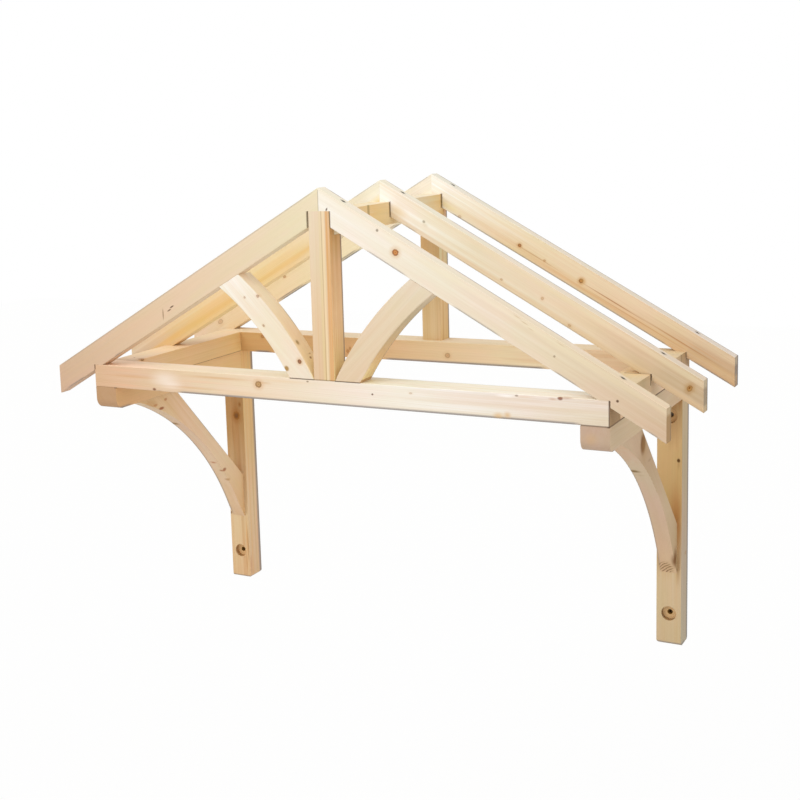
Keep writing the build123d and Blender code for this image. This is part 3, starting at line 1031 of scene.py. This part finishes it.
def addScrews(name, along, head):
    # one screw on each rafter, set on its top face that far from its middle
    points, rows, sides = screwMesh(head)
    r, s = np.meshgrid(np.arange(rows - 1), np.arange(sides), indexing="ij")
    after = (s + 1) % sides
    corners = [r * sides + s, r * sides + after, (r + 1) * sides + after, (r + 1) * sides + s]
    quads = np.stack(corners, -1).reshape(-1, 4)
    places, faces = [], []
    for side, word in ((-1, "left"), (1, "right")):
        turned = np.array(Matrix.Rotation(radians(roofPitch) * side, 3, "Y"))
        for row in ("front", "middle", "rear"):
            low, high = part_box(word + "_" + row + "_rafter")
            middle = np.array((low + high) / 2) * 1000
            seat = middle + turned @ np.array([along * side, 0, head["seat"]])
            faces.append(quads + len(places) * len(points))
            places.append(points @ turned.T + seat)
    mesh = bpy.data.meshes.new(name)
    mesh.from_pydata(np.concatenate(places) / 1000, [], np.concatenate(faces).tolist())
    mesh.polygons.foreach_set("use_smooth", np.ones(len(mesh.polygons), bool))
    screws = bpy.data.objects.new(name, mesh)
    bpy.context.scene.collection.objects.link(screws)
    mesh.materials.append(screwSteel)
    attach(screws, "root")


# dark oiled steel, mottled between two tones and two roughnesses
steelLook = {"tones": ("1C150E", "3C3022"), "roughness": (0.35, 0.6), "spots": 900.0, "spread": (0.2, 0.8)}


def makeScrewSteel(look):
    material = bpy.data.materials.new("screwSteel")
    material.use_nodes = True
    tree = material.node_tree
    whole = addNode(tree, "ShaderNodeTexCoord").outputs["Object"]
    spots = noise(tree, whole, look["spots"], 3.0, 0.6)
    colour = blend(tree, spots, *(shade(code) for code in look["tones"]))
    rough = ease(tree, spots, *look["spread"], *look["roughness"])
    feed(tree, tree.nodes["Principled BSDF"], ("Metallic", "Base Color", "Roughness"), 1.0, colour, rough)
    return material


screwSteel = makeScrewSteel(steelLook)
addScrews("ridgeScrews", -screwHeads["nearRidge"], screwHeads)
addScrews("eavesScrews", screwHeads["nearEaves"], screwHeads)
print("screws set")


# the floor, in metres: it lies below the posts, and its glow for the camera leaves a soft shadow
floorLook = {"half": 14.0, "below": 1.30, "colour": (0.92, 0.92, 0.91, 1), "roughness": 0.9, "glow": 0.9}


def mixForCamera(tree, share, first, second, target):
    # camera, glossy and transmission rays take the second shader by that share
    rays = addNode(tree, "ShaderNodeLightPath").outputs
    kinds = (rays["Is Camera Ray"], rays["Is Glossy Ray"], rays["Is Transmission Ray"])
    seen = chain(tree, "MAXIMUM", *kinds)
    mix = feed(tree, addNode(tree, "ShaderNodeMixShader"), range(3), times(tree, seen, share), first, second)
    plug(tree, mix.outputs[0], target)


def addFloor(look):
    half, low = look["half"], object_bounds()[0][2] - look["below"]
    mesh = bpy.data.meshes.new("floor")
    corners = [(x * half, y * half, low) for x, y in ((-1, -1), (1, -1), (1, 1), (-1, 1))]
    mesh.from_pydata(corners, [], [(0, 1, 2, 3)])
    floor = bpy.data.objects.new("floor", mesh)
    bpy.context.scene.collection.objects.link(floor)
    material = bpy.data.materials.new("floorWhite")
    material.use_nodes = True
    tree = material.node_tree
    shader = tree.nodes["Principled BSDF"]
    feed(tree, shader, ("Base Color", "Roughness"), look["colour"], look["roughness"])
    glow = addNode(tree, "ShaderNodeEmission").outputs[0]
    surface = tree.nodes["Material Output"].inputs["Surface"]
    mixForCamera(tree, look["glow"], shader.outputs[0], glow, surface)
    mesh.materials.append(material)
    floor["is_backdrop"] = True


def lightTheSky():
    # an even light all round that the camera sees as plain white
    world = bpy.data.worlds.new("studio")
    world.use_nodes = True
    bpy.context.scene.world = world
    tree = world.node_tree
    even = feed(tree, tree.nodes["Background"], ("Color", "Strength"), studio["skyTint"], studio["sky"])
    white = feed(tree, addNode(tree, "ShaderNodeBackground"), ["Color"], (1, 1, 1, 1))
    surface = tree.nodes["World Output"].inputs["Surface"]
    mixForCamera(tree, 1.0, even.outputs[0], white.outputs[0], surface)


addFloor(floorLook)
lightTheSky()
bpy.context.scene.view_settings.view_transform = "Standard"
print("studio lit")
